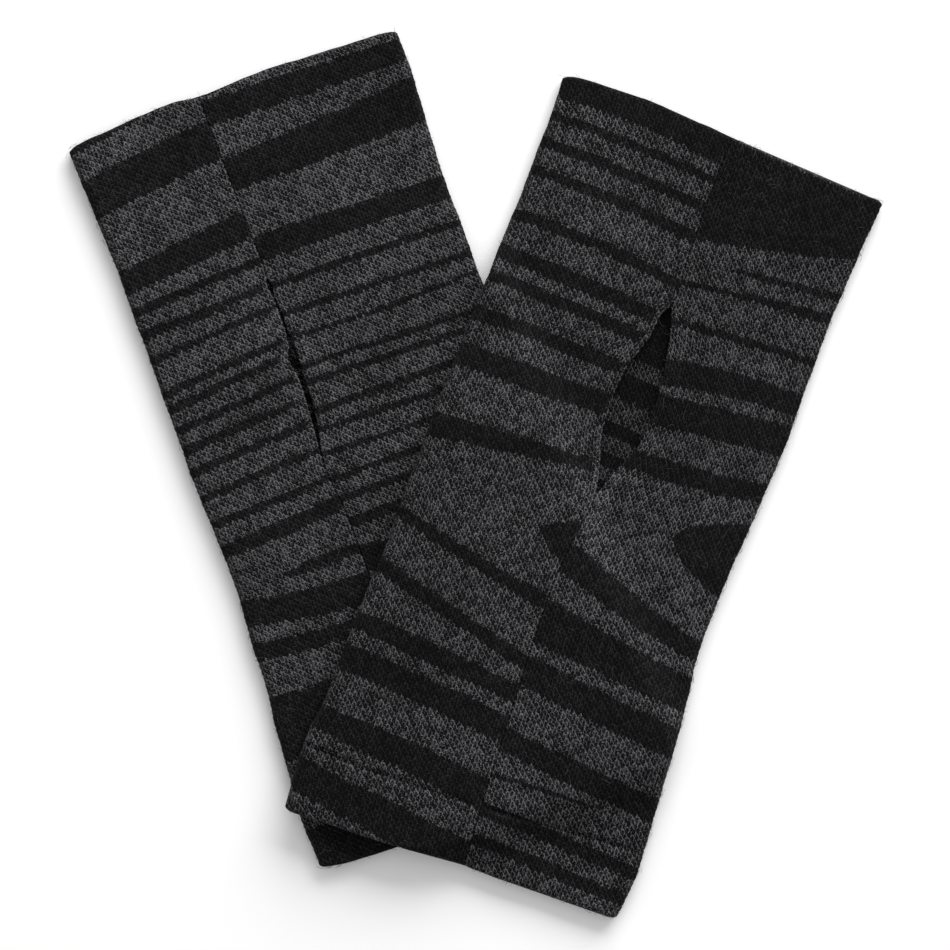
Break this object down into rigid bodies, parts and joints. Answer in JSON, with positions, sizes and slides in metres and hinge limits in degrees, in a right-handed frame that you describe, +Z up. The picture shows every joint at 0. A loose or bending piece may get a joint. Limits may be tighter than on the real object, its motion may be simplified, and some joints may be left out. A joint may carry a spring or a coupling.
{
  "type": "pair of wrist warmers",
  "caption": "Fingerless knitted wrist warmers with thumb slits, laid flat and crossed, one over the other.",
  "frame": {"origin": "centre of the pair's bounding box on the surface it lies on", "axes": "+Z up off the surface, +Y towards the pair's upper edge as laid, +X to the right"},
  "size_m": [0.2114, 0.2312, 0.0089],
  "materials": {
    "knit_outside": "fine two-colour wool knit, charcoal and black bands",
    "knit_inside": "back layer of the same wool knit"
  },
  "bodies": {
    "root": {"lower_back": "knit_inside", "lower_front_left": "knit_outside", "lower_front_right": "knit_outside", "upper_back": "knit_inside", "upper_front_left": "knit_outside", "upper_front_right": "knit_outside"}
  },
  "joints": []
}
